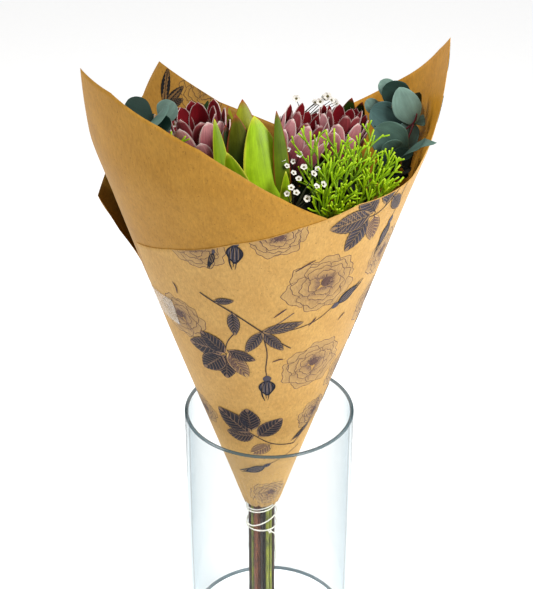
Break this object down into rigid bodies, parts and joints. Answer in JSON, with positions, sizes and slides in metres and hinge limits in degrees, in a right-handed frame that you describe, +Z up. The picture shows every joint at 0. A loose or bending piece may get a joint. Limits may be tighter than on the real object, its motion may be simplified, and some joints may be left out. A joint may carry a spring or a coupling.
{
  "type": "wrapped bouquet in a glass vase",
  "caption": "Native flower bouquet tied with string, wrapped in a printed kraft paper cone, standing in a clear glass cylinder vase.",
  "frame": {"origin": "middle of the vase's underside", "axes": "+Z up along the vase, -Y towards the front of the wrap, +X to the right seen from the front"},
  "size_m": [0.2764, 0.2591, 0.589],
  "materials": {
    "glass": "clear, polished",
    "kraft_paper": "matt kraft paper, printed on one side",
    "clear_tape": "clear film",
    "string": "twisted cotton",
    "stems": "bark",
    "protea_bracts": "silky",
    "protea_florets": "velvety",
    "leucadendron_leaves": "waxy leaf",
    "eucalyptus_leaves": "waxy blue-green leaf",
    "dark_leaves": "glossy dark leaf",
    "feather_foliage": "fine needle foliage",
    "filler_flowers": "small white petals"
  },
  "bodies": {
    "vase": {"vase": "glass"},
    "wrap": {"outer_paper": "kraft_paper", "inner_paper": "kraft_paper", "clear_tape": "clear_tape"},
    "bouquet": {"dark_greenery_stem": "stems", "dark_greenery_tuft": "dark_leaves", "eucalyptus_front_leaves": "eucalyptus_leaves", "eucalyptus_front_stem": "stems", "eucalyptus_left_leaves": "eucalyptus_leaves", "eucalyptus_left_stem": "stems", "eucalyptus_right_leaves": "eucalyptus_leaves", "eucalyptus_right_stem": "stems", "feather_foliage_front_stem": "stems", "feather_foliage_front_tuft": "feather_foliage", "feather_foliage_left_stem": "stems", "feather_foliage_left_tuft": "feather_foliage", "feather_foliage_side_stem": "stems", "feather_foliage_side_tuft": "feather_foliage", "filler_back_flowers": "filler_flowers", "filler_back_stem": "stems", "filler_front_flowers": "filler_flowers", "filler_front_stem": "stems", "filler_left_flowers": "filler_flowers", "filler_left_stem": "stems", "filler_middle_flowers": "filler_flowers", "filler_middle_stem": "stems", "leucadendron_back_left_leaves": "leucadendron_leaves", "leucadendron_back_left_stem": "stems", "leucadendron_back_right_leaves": "leucadendron_leaves", "leucadendron_back_right_stem": "stems", "leucadendron_front_leaves": "leucadendron_leaves", "leucadendron_front_stem": "stems", "leucadendron_side_leaves": "leucadendron_leaves", "leucadendron_side_stem": "stems", "protea_left_bracts": "protea_bracts", "protea_left_florets": "protea_florets", "protea_left_stem": "stems", "protea_middle_bracts": "protea_bracts", "protea_middle_florets": "protea_florets", "protea_middle_stem": "stems", "protea_right_bracts": "protea_bracts", "protea_right_florets": "protea_florets", "protea_right_stem": "stems", "string_knot": "string", "string_loop_turn": "string", "string_lower_turn": "string", "string_second_turn": "string", "string_tail": "string", "string_upper_turn": "string"}
  },
  "joints": [
    {"name": "lift_from_vase", "type": "slide", "parent": "vase", "child": "wrap", "axis": [0, 0, 1], "range_m": [0, 0.27]},
    {"name": "pull_from_wrap", "type": "slide", "parent": "wrap", "child": "bouquet", "axis": [0, 0, 1], "range_m": [0, 0.58]}
  ]
}
